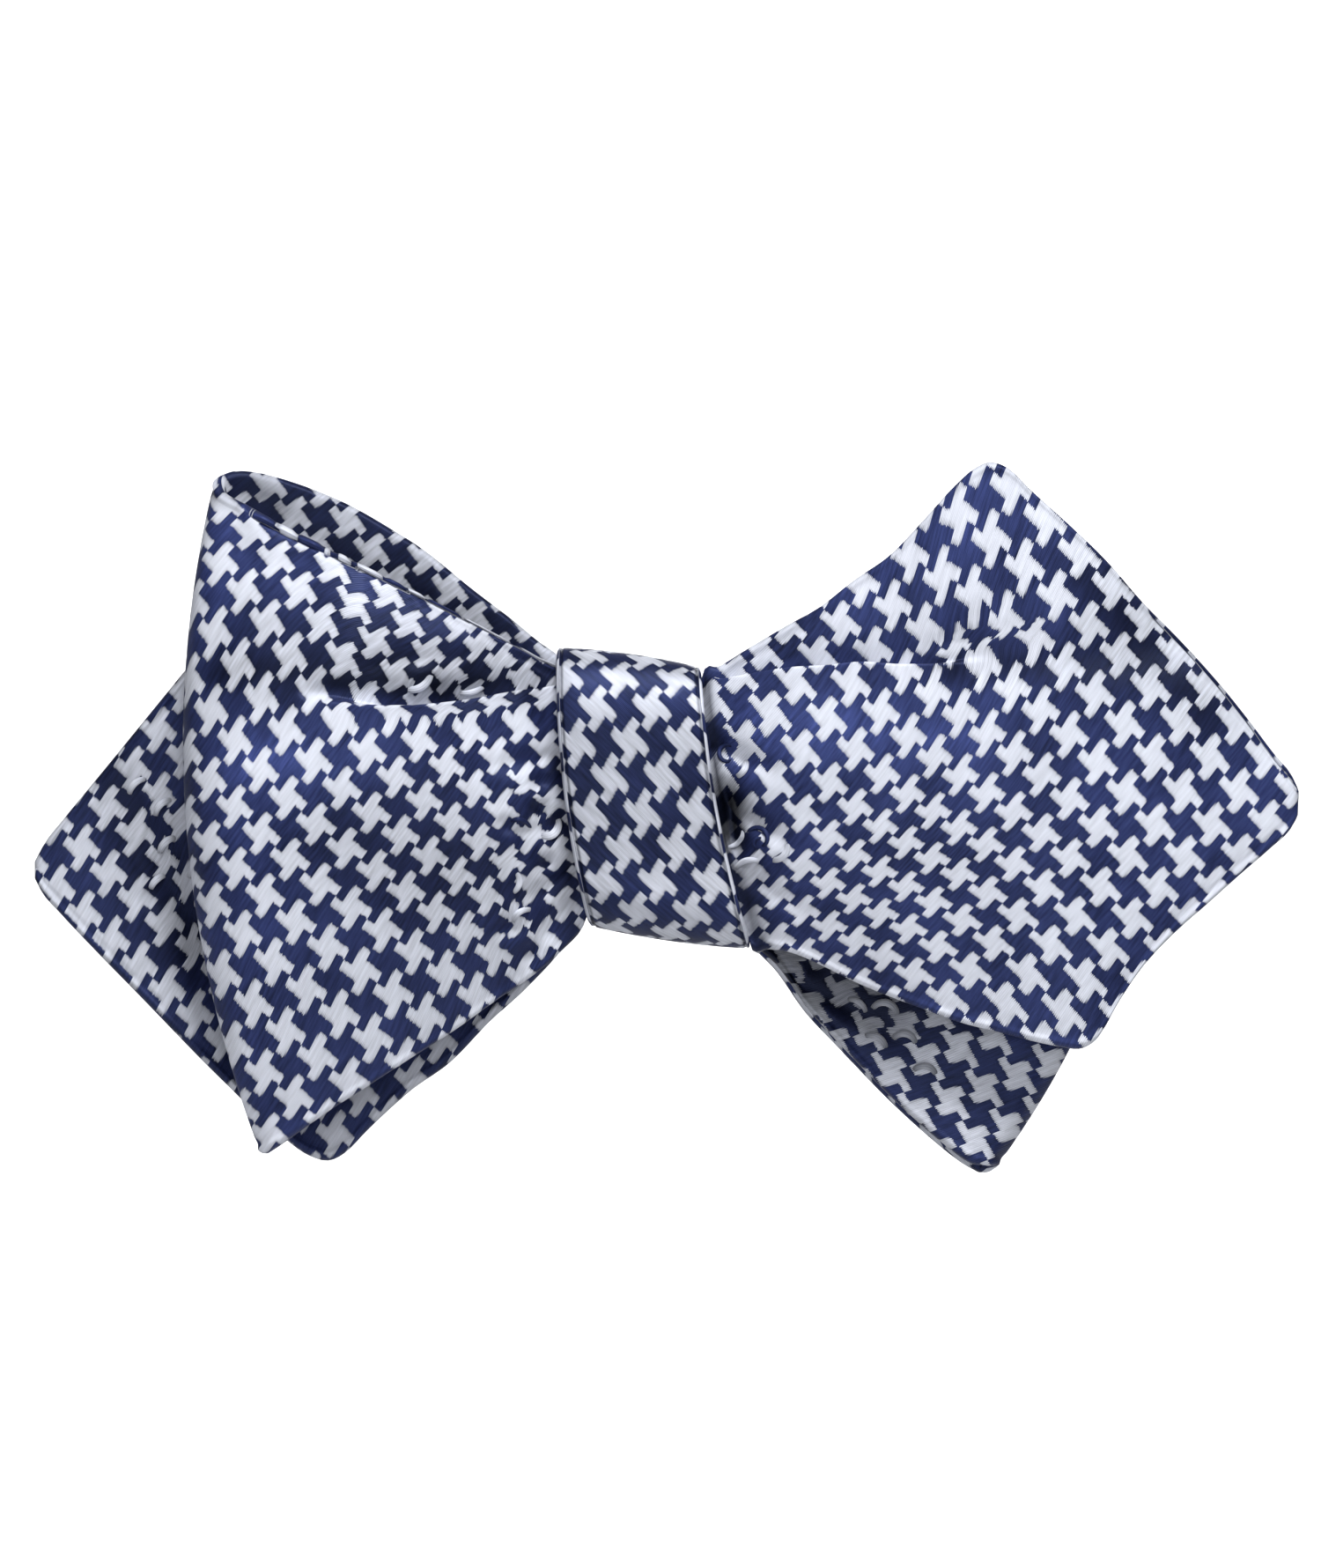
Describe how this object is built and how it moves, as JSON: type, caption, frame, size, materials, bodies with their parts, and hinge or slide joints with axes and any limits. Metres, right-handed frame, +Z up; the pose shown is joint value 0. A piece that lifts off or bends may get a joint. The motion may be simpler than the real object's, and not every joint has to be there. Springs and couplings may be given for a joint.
{
  "type": "diamond point bow tie",
  "caption": "Tied bow tie with diamond-pointed ends, a folded loop and a blade on each side, a leaning knot and a closed neckband.",
  "frame": {"origin": "middle of the neck, level with the knot, where the neckband is worn", "axes": "+Z up the neck, +Y from the bow at the front to the nape, +X to the right of someone who looks at the bow"},
  "size_m": [0.1209, 0.1489, 0.0679],
  "materials": {
    "houndstooth_silk": "navy and silver-white houndstooth jacquard silk with a satin sheen"
  },
  "bodies": {
    "root": {"front_bow": "houndstooth_silk", "rear_bow": "houndstooth_silk", "knot_wrap": "houndstooth_silk", "neckband": "houndstooth_silk"}
  },
  "joints": []
}
